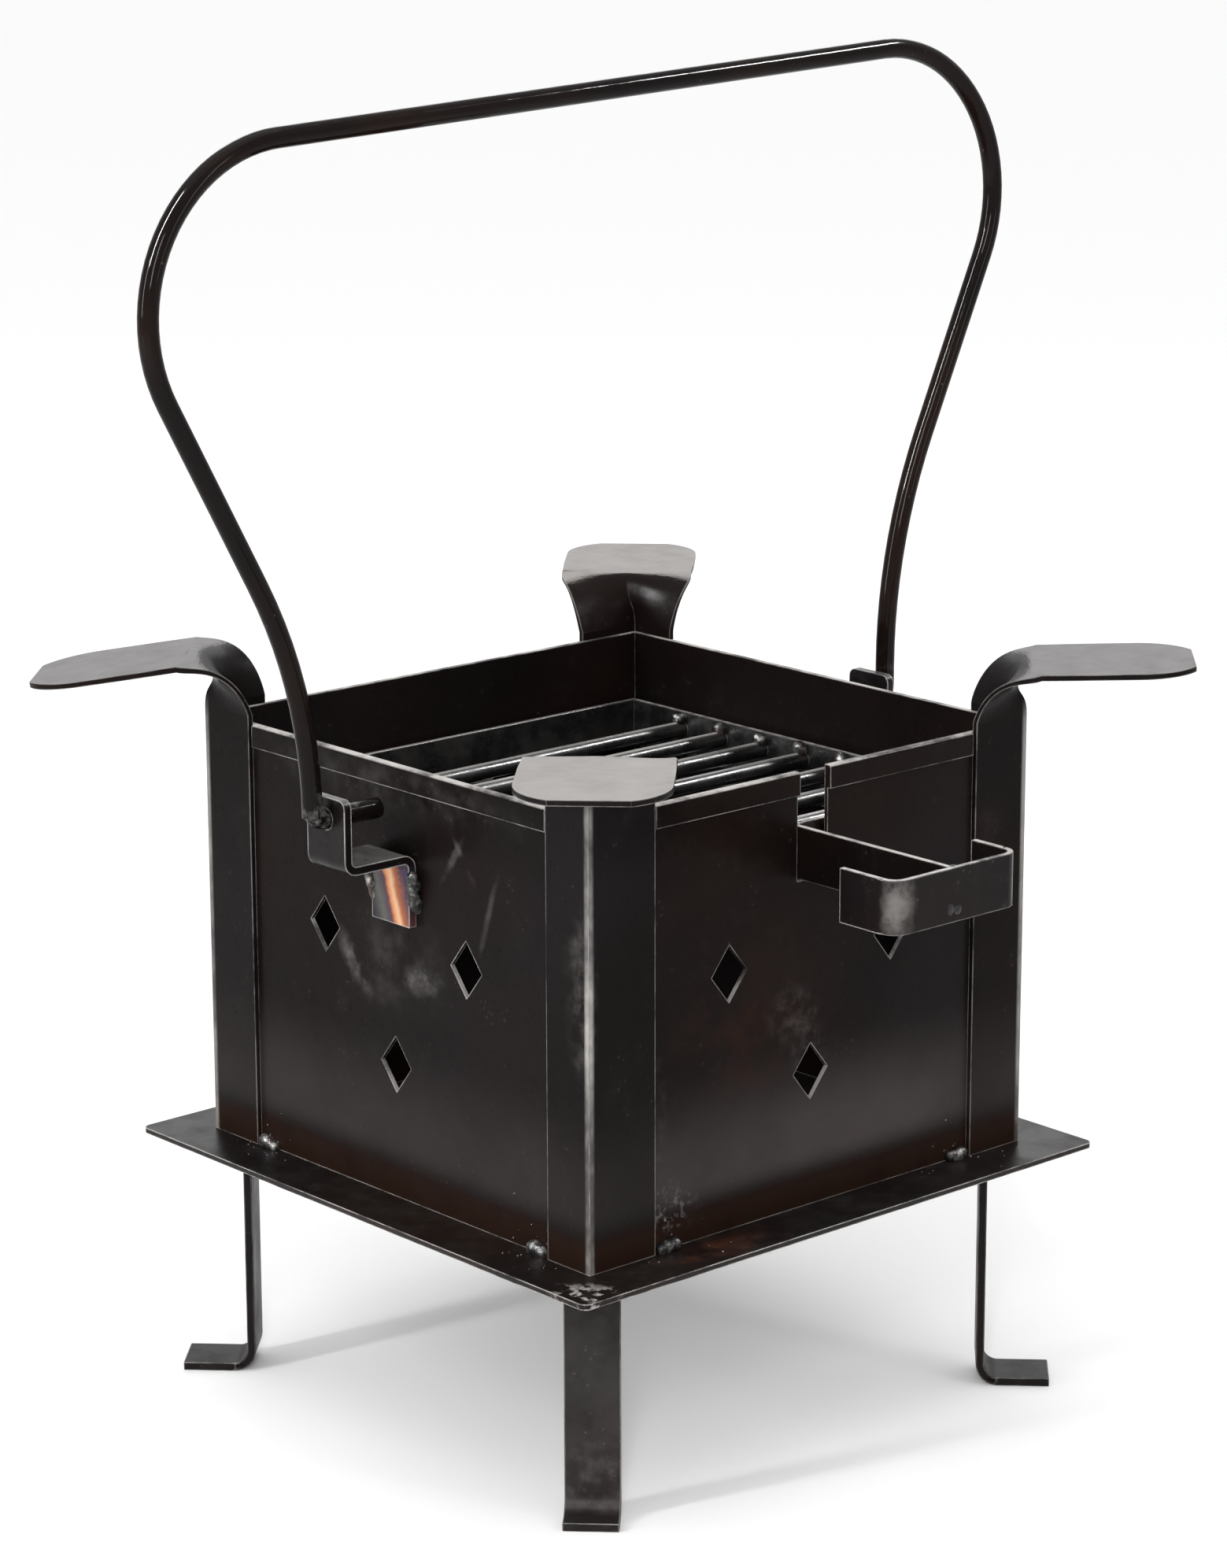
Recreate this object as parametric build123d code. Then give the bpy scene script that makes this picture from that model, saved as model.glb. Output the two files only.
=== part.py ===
from build123d import *
import math
import os

os.makedirs("parts", exist_ok=True)

# Square charcoal stove of folded and welded steel: a firebox on a wider base plate, four strip
# legs, four corner posts that bend outwards into pot rests, a swinging wire bail and a loose grate.
# Millimetres. +Z is up, -Y is the front, with the slot and the grate handle. The origin is on the
# floor, under the middle of the firebox.

# ---------------------------------------------------------------- driving dimensions
STAND_H = 88.0            # floor to the underside of the base plate
PLATE_T = 2.0             # base plate
PLATE_MARGIN = 21.0       # base plate beyond the firebox, each side
PLATE_CORNER_R = 3.0

BOX = 200.0               # outside width of the firebox
WALL_H = 154.0            # wall height above the base plate
WALL_T = 1.5              # wall sheet
HEM_H = 8.0               # rim sheet folded down the outside of the wall
HEM_T = 1.4
AIR_W = 16.0              # diamond air holes
AIR_H = 20.0
AIR_SPREAD = 38.0         # upper holes, sideways from the middle of the wall
AIR_UPPER_Z = 90.0        # above the base plate
AIR_LOWER_Z = 48.0
SLOT_W = 14.0             # open slot in the front rim
SLOT_DEPTH = 38.0

POST_LEG = 25.0           # width of each side of the corner angle
POST_T = 2.0
POST_FOLD_SHIFT = {"front": 4.0, "right": 0.0, "back": 3.5, "left": 0.0}    # fold off the strip's middle
HEM_GAP = 1.0             # hem to the edge of the corner angle
REST_RISE = 22.0          # top of the pot rests above the rim
REST_REACH = 60.5         # pot rest tip beyond the firebox corner, along the diagonal
REST_DROOP = {"front": 0.0, "right": -1.5, "back": 0.0, "left": 9.0}   # hand-bent angles, degrees
REST_WIDEN = 14.0         # length over which the rest reaches the strip's full width
REST_TIP_CUT = (20.0, 12.0)     # rounded tip corners: along the rest, across it
NECK_RISE = 9.0           # above the rim, where the neck starts to bend outwards
NECK_OPEN = 6.0           # the angle starts to open this far below that
NECK_OUT = 7.0            # beyond the firebox corner, where the rest is flat
NECK_W = 49.0             # width there
NECK_COURSE = ((0.2, 0.0), (0.6, 0.3), (0.95, 0.65), (1.0, 1.0))   # shares opened flat, bent over

LEG_W = 19.0              # flat bar legs
LEG_T = 3.0
LEG_INSET = 9.5           # middle of the bar inside the firebox corner, along the diagonal
LEG_FOOT = {"front": 13.0, "right": 25.0, "back": 25.0, "left": 25.0}   # from the middle of the bar
LEG_BEND = 7.0

PIVOT_DROP = 13.5         # bail pivot below the rim
LUG_Y = -2.0
LUG_W = 20.0
LUG_T = 3.0
LUG_REACH = {"left": 30.0, "right": 27.0}    # firebox wall to the outside of the upright flange
LUG_TOP = {"left": 7.5, "right": 11.0}       # flange above the pivot
LUG_SHELF_DROP = 17.0     # middle of the shelf below the pivot
LUG_BASE_DROP = 41.0      # lower end of the base leg below the pivot
LUG_BEND = 3.5
LUG_ROUND = 3.0

BAIL_D = 7.0              # bail wire
BAIL_HOLE_GAP = 0.1       # radial clearance in the lug hole
BAIL_SIDE_GAP = 0.5       # wire to the outside of the flange
BAIL_TAIL = 22.0          # wire end inside the flange's outer face
BAIL_CRANK_BEND = 5.0
BAIL_NECK_L = 44.5        # pivot to where the wire spreads, left and right
BAIL_NECK_R = 57.0
BAIL_SPREAD_L = 96.0      # widest corners beyond the wire's lower legs
BAIL_SPREAD_R = 86.0
BAIL_RISE_L = 222.0       # top corners above the pivot, left a little lower
BAIL_RISE_R = 242.0
BAIL_NECK_BEND_L = 170.0
BAIL_NECK_BEND_R = 200.0
BAIL_CORNER_BEND = 55.0

GRATE_GAP = 3.5           # grate ring to the inside of the firebox
RING_H = 18.0
RING_T = 2.0
RING_BELOW_ARM = 5.0      # ring's lower edge below the handle arm's lower edge
ROD_D = 6.0
ROD_N = 7
ROD_PITCH = 21.8
ROD_DROP = 6.5            # middle of the rods below the top of the ring
LEDGE_L = 40.0            # ledges on the walls that carry the grate
LEDGE_W = 9.0
LEDGE_T = 3.0

ARM_H = 18.5              # strip of the grate handle
ARM_T = 2.0
ARM_SLOT_GAP = 0.5        # arm above the bottom of the slot
ARM_SIDE_GAP = 1.0        # arm to the side of the slot
ARM_FOOT = 21.0           # bent end of the arm along the grate ring
ARM_REACH = 69.0          # front wall to the inside of the grip
ARM_BEND = 3.0
GRIP_LEFT = 26.5          # grip beyond the arm, left and right
GRIP_RIGHT = 30.0
GRIP_RETURN_L = 24.0      # bent-back ends of the grip
GRIP_RETURN_R = 19.5
GRIP_BEND = 5.0

BEAD_L = 9.0              # weld beads
BEAD_R = 3.0
BEAD_FROM_POST = 6.0      # middle of a wall-to-plate bead to the edge of the corner post

# ---------------------------------------------------------------- sizes that follow
HALF = BOX / 2
INNER = HALF - WALL_T
PLATE_TOP = STAND_H + PLATE_T
RIM_Z = PLATE_TOP + WALL_H
CORNER_R = HALF * math.sqrt(2)              # firebox corner, along the diagonal
POST_OUT = HALF + POST_T                    # outside face of the corner angles
SLOT_Z = RIM_Z - SLOT_DEPTH
PIVOT_Z = RIM_Z - PIVOT_DROP
LUG_OUT = {side: HALF + reach for side, reach in LUG_REACH.items()}
BAIL_R = BAIL_D / 2
BAIL_X = {side: out + BAIL_SIDE_GAP + BAIL_CRANK_BEND for side, out in LUG_OUT.items()}
ARM_Z0 = SLOT_Z + ARM_SLOT_GAP
ARM_X = -SLOT_W / 2 + ARM_SIDE_GAP + ARM_T / 2
RING_HALF = INNER - GRATE_GAP
RING_Z0 = ARM_Z0 - RING_BELOW_ARM
ROD_Z = RING_Z0 + RING_H - ROD_DROP
GRIP_Y = -HALF - ARM_REACH - ARM_T / 2

SIDES = {"front": 0, "right": 90, "rear": 180, "left": 270}         # turn about Z from the front
CORNERS = {"front": 225, "right": 315, "back": 45, "left": 135}     # direction of each diagonal
WALL_ENDS = {                                                       # posts at each wall's two ends
    "front": ("front", "right"),
    "right": ("right", "back"),
    "rear": ("back", "left"),
    "left": ("left", "front"),
}


def turned(shape, angle):
    """The shape turned about the vertical axis of the stove."""
    return Rot(0, 0, angle) * shape


def bent_strip(points, radii, width, thick, across):
    """Flat bar bent along a route through the middle of its thickness."""
    route = FilletPolyline(*points, radius=radii)
    start = Plane(origin=route @ 0, x_dir=across, z_dir=route % 0)
    return sweep(start * Rectangle(width, thick), route)


def bead(length, radius):
    """Weld bead along X, centred at the origin."""
    return scale(Sphere(1), by=(length / 2, radius, radius))


# ---------------------------------------------------------------- base and firebox
def base_plate():
    side = BOX + 2 * PLATE_MARGIN
    plate = Pos(0, 0, STAND_H) * extrude(RectangleRounded(side, side, PLATE_CORNER_R), PLATE_T)
    return plate


def diamond(x, z):
    """Cutter for one air hole in a wall that faces -Y."""
    outline = Polyline((-AIR_W / 2, 0), (0, AIR_H / 2), (AIR_W / 2, 0), (0, -AIR_H / 2), close=True)
    face = Plane.XZ * make_face(outline)
    return Pos(x, -HALF, PLATE_TOP + z) * extrude(face, WALL_T * 4, both=True)


def open_span(name):
    """Where the wall shows between its two corner posts, left and right, seen from outside."""
    left_post, right_post = WALL_ENDS[name]
    left = -POST_OUT + POST_LEG + POST_FOLD_SHIFT[left_post]
    right = POST_OUT - POST_LEG + POST_FOLD_SHIFT[right_post]
    return left, right


def wall(name):
    """One wall, facing -Y, with its folded rim, air holes and, at the front, the slot."""
    half_width = HALF if name in ("front", "rear") else INNER
    sheet = Pos(0, -HALF + WALL_T / 2, PLATE_TOP) * Box(
        2 * half_width, WALL_T, WALL_H, align=(Align.CENTER, Align.CENTER, Align.MIN)
    )
    left, right = open_span(name)
    hem = Pos(left + HEM_GAP, -HALF, RIM_Z) * Box(
        right - left - 2 * HEM_GAP, HEM_T, HEM_H, align=(Align.MIN, Align.MAX, Align.MAX)
    )
    hem = fillet(hem.edges().filter_by(Axis.X).group_by(Axis.Y)[0].sort_by(Axis.Z)[-1], HEM_T * 0.8)
    panel = sheet + hem
    panel -= diamond(-AIR_SPREAD, AIR_UPPER_Z)
    panel -= diamond(AIR_SPREAD, AIR_UPPER_Z)
    panel -= diamond(0, AIR_LOWER_Z)
    if name == "front":
        panel -= Pos(0, -HALF, SLOT_Z) * Box(
            SLOT_W, WALL_T * 4, SLOT_DEPTH + 1, align=(Align.CENTER, Align.CENTER, Align.MIN)
        )
    return panel


def ledge():
    """Flat tab on the inside of a wall that faces -Y. The grate ring rests on it."""
    return Pos(0, -INNER, RING_Z0) * Box(
        LEDGE_L, LEDGE_W, LEDGE_T, align=(Align.CENTER, Align.MIN, Align.MAX)
    )


def wall_beads():
    """Beads in the corner between each wall and the base plate."""
    inside = Box(2 * HALF, 2 * HALF, 4 * BEAD_R)
    single = bead(BEAD_L, BEAD_R)
    beads = []
    for name, angle in SIDES.items():
        left, right = open_span(name)
        for x in (left + BEAD_FROM_POST, right - BEAD_FROM_POST):
            beads.append(turned(Pos(x, -HALF, 0) * single, angle))
    above = Box(4 * BOX, 4 * BOX, 4 * BEAD_R, align=(Align.CENTER, Align.CENTER, Align.MIN))
    return [Pos(0, 0, PLATE_TOP) * ((one & above) - inside) for one in beads]


# ---------------------------------------------------------------- corner posts
def folded_points(shift):
    """Corner angle from above, fold line on +X: (x, y) outside, then inside, from +Y to -Y."""
    step = math.sqrt(0.5)
    fold_x = CORNER_R + POST_T / step
    plus = (POST_LEG + shift) * step
    minus = (POST_LEG - shift) * step
    t = POST_T * step
    return [
        (fold_x, 0),
        (fold_x - plus, plus),
        (fold_x - plus - t, plus - t),
        (CORNER_R, 0),
        (fold_x - minus - t, t - minus),
        (fold_x - minus, -minus),
    ]


def neck_section(opened, bent, shift, droop):
    """Section of the neck, those shares of the way to open flat and to bend outwards."""
    axis_x = CORNER_R + NECK_OUT
    axis_z = RIM_Z + NECK_RISE
    top = REST_RISE - NECK_RISE
    low = top - POST_T
    edge = NECK_W / 2
    flat = [(low, shift), (low, edge + shift), (top, edge + shift)]
    flat += [(top, shift), (top, shift - edge), (low, shift - edge)]
    folded = [(axis_x - x, y) for x, y in folded_points(shift)]
    pairs = [
        ((1 - opened) * a + opened * c, (1 - opened) * b + opened * d)
        for (a, b), (c, d) in zip(folded, flat)
    ]
    turn = math.radians(bent * (90 + droop))
    plane = Plane(
        origin=(axis_x, 0, axis_z),
        x_dir=(-math.cos(turn), 0, math.sin(turn)),
        z_dir=(-math.sin(turn), 0, -math.cos(turn)),
    )
    return plane * make_face(Polyline(*pairs, close=True))


def rest_plate(shift, droop):
    """The flat pot rest beyond the neck, with rounded tip corners."""
    length = (REST_REACH - NECK_OUT) / math.cos(math.radians(droop))
    narrow = NECK_W / 2
    wide = POST_LEG
    cut_x, cut_y = REST_TIP_CUT
    tip = (length, wide - cut_y)
    halfway = (length - 0.32 * cut_x, wide - 0.36 * cut_y)
    side = Polyline((0, 0), (0, narrow), (REST_WIDEN, wide), (length - cut_x, wide))
    half = make_face(
        side + ThreePointArc((length - cut_x, wide), halfway, tip) + Polyline(tip, (length, 0), (0, 0))
    )
    outline = Pos(0, shift) * (half + mirror(half, Plane.XZ))
    turn = math.radians(90 + droop)
    rise = REST_RISE - NECK_RISE
    start = (
        CORNER_R + NECK_OUT - rise * math.cos(turn),
        0,
        RIM_Z + NECK_RISE + rise * math.sin(turn),
    )
    along = (math.sin(turn), 0, math.cos(turn))
    up = (-math.cos(turn), 0, math.sin(turn))
    return Plane(origin=start, x_dir=along, z_dir=up) * extrude(outline, -POST_T)


def post(shift, droop):
    """Corner post on the +X diagonal: folded angle, neck and pot rest, one strip of steel."""
    section = Pos(0, 0, PLATE_TOP) * make_face(Polyline(*folded_points(shift), close=True))
    angle = extrude(section, RIM_Z + NECK_RISE - NECK_OPEN - PLATE_TOP)
    start = Pos(0, 0, -NECK_OPEN) * neck_section(0, 0, shift, droop)
    neck = loft([start] + [neck_section(*shares, shift, droop) for shares in NECK_COURSE])
    return angle + neck + rest_plate(shift, droop)


# ---------------------------------------------------------------- legs
def leg(foot):
    """Flat bar leg on the +X diagonal, welded under the plate, with its foot bent outwards."""
    x = CORNER_R - LEG_INSET
    points = [(x, 0, STAND_H), (x, 0, LEG_T / 2), (x + foot, 0, LEG_T / 2)]
    return bent_strip(points, [LEG_BEND], LEG_W, LEG_T, (0, 1, 0))


def leg_beads():
    """Beads under the plate on the inner and outer face of each leg."""
    x = CORNER_R - LEG_INSET
    below = Pos(0, 0, STAND_H) * Box(4 * BOX, 4 * BOX, 4 * BEAD_R,
                                     align=(Align.CENTER, Align.CENTER, Align.MAX))
    beads = []
    for face in (-LEG_T / 2, LEG_T / 2):
        one = Pos(x + face, 0, STAND_H) * turned(bead(BEAD_L * 1.6, BEAD_R), 90)
        beads.append((one & below) - leg(LEG_FOOT["back"]))
    return [turned(one, angle) for one in beads for angle in CORNERS.values()]


# ---------------------------------------------------------------- bail and lugs
def lug(side):
    """Bail lug on a wall that faces +X: base leg on the wall, shelf and upright flange."""
    base_x = HALF + LUG_T / 2
    flange_x = LUG_OUT[side] - LUG_T / 2
    shelf_z = PIVOT_Z - LUG_SHELF_DROP
    points = [
        (base_x, LUG_Y, PIVOT_Z - LUG_BASE_DROP),
        (base_x, LUG_Y, shelf_z),
        (flange_x, LUG_Y, shelf_z),
        (flange_x, LUG_Y, PIVOT_Z + LUG_TOP[side]),
    ]
    strip = bent_strip(points, [LUG_BEND, LUG_BEND], LUG_W, LUG_T, (0, 1, 0))
    hole = Cylinder(BAIL_R + BAIL_HOLE_GAP, 3 * LUG_T, rotation=(0, 90, 0))
    strip -= Pos(flange_x, LUG_Y, PIVOT_Z) * hole
    top_corners = strip.edges().filter_by(Axis.X).group_by(Axis.Z)[-1]
    return fillet(top_corners, LUG_ROUND)


def mirrored_x(shape):
    return mirror(shape, Plane.YZ)


def lug_beads():
    """Upright beads down both sides of each lug's base leg."""
    z = PIVOT_Z - (LUG_BASE_DROP + LUG_SHELF_DROP) / 2
    outside = Pos(HALF, 0, 0) * Box(BOX, 4 * BOX, 4 * RIM_Z, align=(Align.MIN, Align.CENTER, Align.CENTER))
    beads = []
    for side in (-1, 1):
        one = Pos(HALF, LUG_Y + side * LUG_W / 2, z) * Rot(0, 90, 0) * bead(BEAD_L * 1.6, BEAD_R)
        kept = (one & outside) - lug("right")
        beads.append(kept)
        beads.append(mirrored_x(kept))
    return beads


def bail_handle():
    """Round wire: tails through the lugs, lower legs, and a wide bow over the top."""
    left_x, right_x = BAIL_X["left"], BAIL_X["right"]
    left = [
        (BAIL_TAIL - LUG_OUT["left"], LUG_Y, PIVOT_Z),
        (-left_x, LUG_Y, PIVOT_Z),
        (-left_x, LUG_Y, PIVOT_Z + BAIL_NECK_L),
        (-left_x - BAIL_SPREAD_L, LUG_Y, PIVOT_Z + BAIL_RISE_L),
    ]
    right = [
        (right_x + BAIL_SPREAD_R, LUG_Y, PIVOT_Z + BAIL_RISE_R),
        (right_x, LUG_Y, PIVOT_Z + BAIL_NECK_R),
        (right_x, LUG_Y, PIVOT_Z),
        (LUG_OUT["right"] - BAIL_TAIL, LUG_Y, PIVOT_Z),
    ]
    left_bends = [BAIL_CRANK_BEND, BAIL_NECK_BEND_L, BAIL_CORNER_BEND]
    right_bends = [BAIL_CORNER_BEND, BAIL_NECK_BEND_R, BAIL_CRANK_BEND]
    route = FilletPolyline(*left, *right, radius=left_bends + right_bends)
    start = Plane(origin=route @ 0, z_dir=route % 0)
    return sweep(start * Circle(BAIL_R), route)


# ---------------------------------------------------------------- grate
def ring_side(half_length):
    """One side of the grate ring, facing -Y: strip on edge."""
    return Pos(0, -RING_HALF, RING_Z0) * Box(
        2 * half_length, RING_T, RING_H, align=(Align.CENTER, Align.MIN, Align.MIN)
    )


def grate_rod(y):
    length = 2 * (RING_HALF - RING_T)
    return Pos(0, y, ROD_Z) * Cylinder(ROD_D / 2, length, rotation=(0, 90, 0))


def rod_ys():
    return [(i - (ROD_N - 1) / 2) * ROD_PITCH for i in range(ROD_N)]


def rod_beads():
    """Blobs of weld on top of the rod ends, against the ring."""
    x = RING_HALF - RING_T
    inside = Box(2 * x, BOX, 4 * RIM_Z)
    beads = []
    for y in rod_ys():
        for side in (-1, 1):
            one = Pos(side * x, y, ROD_Z + ROD_D / 2) * bead(BEAD_L, BEAD_R * 0.8)
            beads.append((one & inside) - grate_rod(y))
    return beads


def grate_arm():
    """Strip on edge from the grate ring, through the slot, to the grip."""
    z = ARM_Z0 + ARM_H / 2
    ring_y = -RING_HALF - ARM_T / 2
    points = [(ARM_X + ARM_FOOT, ring_y, z), (ARM_X, ring_y, z), (ARM_X, GRIP_Y + ARM_T / 2, z)]
    return bent_strip(points, [ARM_BEND], ARM_H, ARM_T, (0, 0, 1))


def grate_grip():
    """U of the same strip across the end of the arm, its ends bent back towards the stove."""
    z = ARM_Z0 + ARM_H / 2
    left = ARM_X - GRIP_LEFT
    right = ARM_X + GRIP_RIGHT
    points = [
        (left, GRIP_Y + GRIP_RETURN_L, z),
        (left, GRIP_Y, z),
        (right, GRIP_Y, z),
        (right, GRIP_Y + GRIP_RETURN_R, z),
    ]
    return bent_strip(points, [GRIP_BEND, GRIP_BEND], ARM_H, ARM_T, (0, 0, 1))


def grip_beads():
    """Upright beads in both corners between the arm and the grip."""
    beads = []
    solids = grate_arm() + grate_grip()
    for side in (-1, 1):
        one = Pos(ARM_X + side * ARM_T / 2, GRIP_Y + ARM_T / 2, ARM_Z0 + ARM_H / 2)
        one = one * Rot(0, 90, 0) * bead(ARM_H * 0.9, BEAD_R)
        halves = (one - solids).solids()
        beads.append(halves.sort_by(Axis.Y)[-1])
    return beads


# ---------------------------------------------------------------- every node
def nodes():
    found = {"base_plate": base_plate()}
    for name, angle in SIDES.items():
        found["wall_" + name] = turned(wall(name), angle)
        found["grate_ledge_" + name] = turned(ledge(), angle)
    for name, angle in CORNERS.items():
        found["post_" + name] = turned(post(POST_FOLD_SHIFT[name], REST_DROOP[name]), angle)
        found["leg_" + name] = turned(leg(LEG_FOOT[name]), angle)
    found["lug_right"] = lug("right")
    found["lug_left"] = mirrored_x(lug("left"))
    found["bail_handle"] = bail_handle()
    for name, angle in SIDES.items():
        across = RING_HALF if name in ("front", "rear") else RING_HALF - RING_T
        found["grate_ring_" + name] = turned(ring_side(across), angle)
    for number, y in enumerate(rod_ys(), start=1):
        found["grate_rod_" + str(number)] = grate_rod(y)
    found["grate_arm"] = grate_arm()
    found["grate_grip"] = grate_grip()
    found["beads_wall"] = Compound(children=[solid for one in wall_beads() for solid in one.solids()])
    found["beads_leg"] = Compound(children=[solid for one in leg_beads() for solid in one.solids()])
    found["beads_lug"] = Compound(children=[solid for one in lug_beads() for solid in one.solids()])
    found["beads_rod"] = Compound(children=[solid for one in rod_beads() for solid in one.solids()])
    found["beads_grip"] = Compound(children=[solid for one in grip_beads() for solid in one.solids()])
    return found


for node, shape in nodes().items():
    export_step(shape, "parts/" + node + ".step")
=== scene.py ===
import math
import random

import bmesh
import bpy
from mathutils import Matrix, Vector, noise


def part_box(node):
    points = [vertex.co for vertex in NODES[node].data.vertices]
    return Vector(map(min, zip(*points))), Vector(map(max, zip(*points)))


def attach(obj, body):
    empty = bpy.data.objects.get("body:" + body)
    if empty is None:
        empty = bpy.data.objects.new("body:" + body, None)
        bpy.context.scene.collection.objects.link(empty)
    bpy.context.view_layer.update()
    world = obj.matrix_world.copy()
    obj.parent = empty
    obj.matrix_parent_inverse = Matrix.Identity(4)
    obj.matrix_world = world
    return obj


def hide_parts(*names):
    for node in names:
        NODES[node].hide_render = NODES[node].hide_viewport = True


# Square charcoal stove of black-painted steel. Metres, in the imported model's frame: +Z up, -Y the
# front, the origin on the floor under the middle of the firebox.

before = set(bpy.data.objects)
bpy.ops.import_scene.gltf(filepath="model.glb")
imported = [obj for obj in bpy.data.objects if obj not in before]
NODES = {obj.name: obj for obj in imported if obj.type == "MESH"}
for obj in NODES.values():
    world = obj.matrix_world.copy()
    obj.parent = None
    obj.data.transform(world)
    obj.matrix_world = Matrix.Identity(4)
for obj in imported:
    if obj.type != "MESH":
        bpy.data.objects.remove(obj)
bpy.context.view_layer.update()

# ---------------------------------------------------------------- camera and light
CAMERA_AT = (-0.9968, -1.1192, 0.6018)
CAMERA_TURN = (75.698, 0.145, -41.72)      # degrees
LENS = 100.9
SENSOR = 36.0

FLOOR_SIZE = 40.0
FLOOR_GREY = 0.86
SKY_LIGHT = 0.80
SUN_LIGHT = 1.0            # straight down, so that the whole floor is even
SUN_SPREAD = 70.0
STAGE_MIDDLE = Vector((0.0, 0.0, 0.2))

# name: azimuth and elevation from the stove in degrees, distance, width, height, watts
SOFTBOXES = {
    "key": (-44.0, 24.0, 1.9, 0.22, 0.7, 15.0),
    "back": (138.0, 24.0, 2.2, 1.6, 0.5, 6.0),
    "left": (-100.0, 16.0, 1.9, 0.16, 0.9, 18.0),
    "right": (16.0, 16.0, 1.9, 0.16, 0.9, 4.0),
}

# Narrow strips, that show only as highlights on gloss paint and on rods.
STREAKS = {
    "side": (-92.0, 44.0, 1.9, 0.12, 1.2, 180.0),
    "above": (65.0, 45.0, 1.9, 0.50, 0.12, 36.0),
}

# ---------------------------------------------------------------- colours, linear
PAINT_DARK = (0.0044, 0.0031, 0.0031)
PAINT_WARM = (0.0095, 0.0050, 0.0036)
PAINT_COOL = (0.0082, 0.0066, 0.0074)
SMUDGE = (0.105, 0.098, 0.095)
DUST = (0.060, 0.052, 0.045)
# Paler grey: a painted reflection of the floor low on the walls and posts.
FLOOR_REFLECTION_GREY = (0.054, 0.046, 0.045)
# Dark brown: a painted reflection of the base plate along the foot of the walls and posts.
PLATE_REFLECTION_BROWN = (0.014, 0.0065, 0.0042)
# Light grey: worn paint and chips, and painted highlights on edges, tops, folds, necks and rods.
WORN_AND_HIGHLIGHT = (0.44, 0.42, 0.40)
RUST = (0.060, 0.017, 0.006)
# Steel grey: weld metal, and a painted highlight on the grip's bend.
STEEL_AND_HIGHLIGHT = (0.22, 0.21, 0.20)
# Pot-rest tops: pan wear with a painted sheen, a lit copy and a shaded copy.
PAN_WORN_LIT = (0.295, 0.280, 0.270)
PAN_WORN_SHADED = (0.185, 0.175, 0.177)
SOOT = (0.006, 0.006, 0.006)

MM = 0.001
EDGE_EASE = 0.35 * MM      # rounding of sheared edges
BEAD_GRAIN = 0.8 * MM      # finest detail in a weld bead
PAINT_WAVE = 0.8 * MM      # depth that the bump maps stand for

# the side of the firebox, in X and in Y, that each post stands on
CORNERS = {"post_front": (-1, -1), "post_right": (1, -1), "post_back": (1, 1), "post_left": (-1, 1)}


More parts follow.
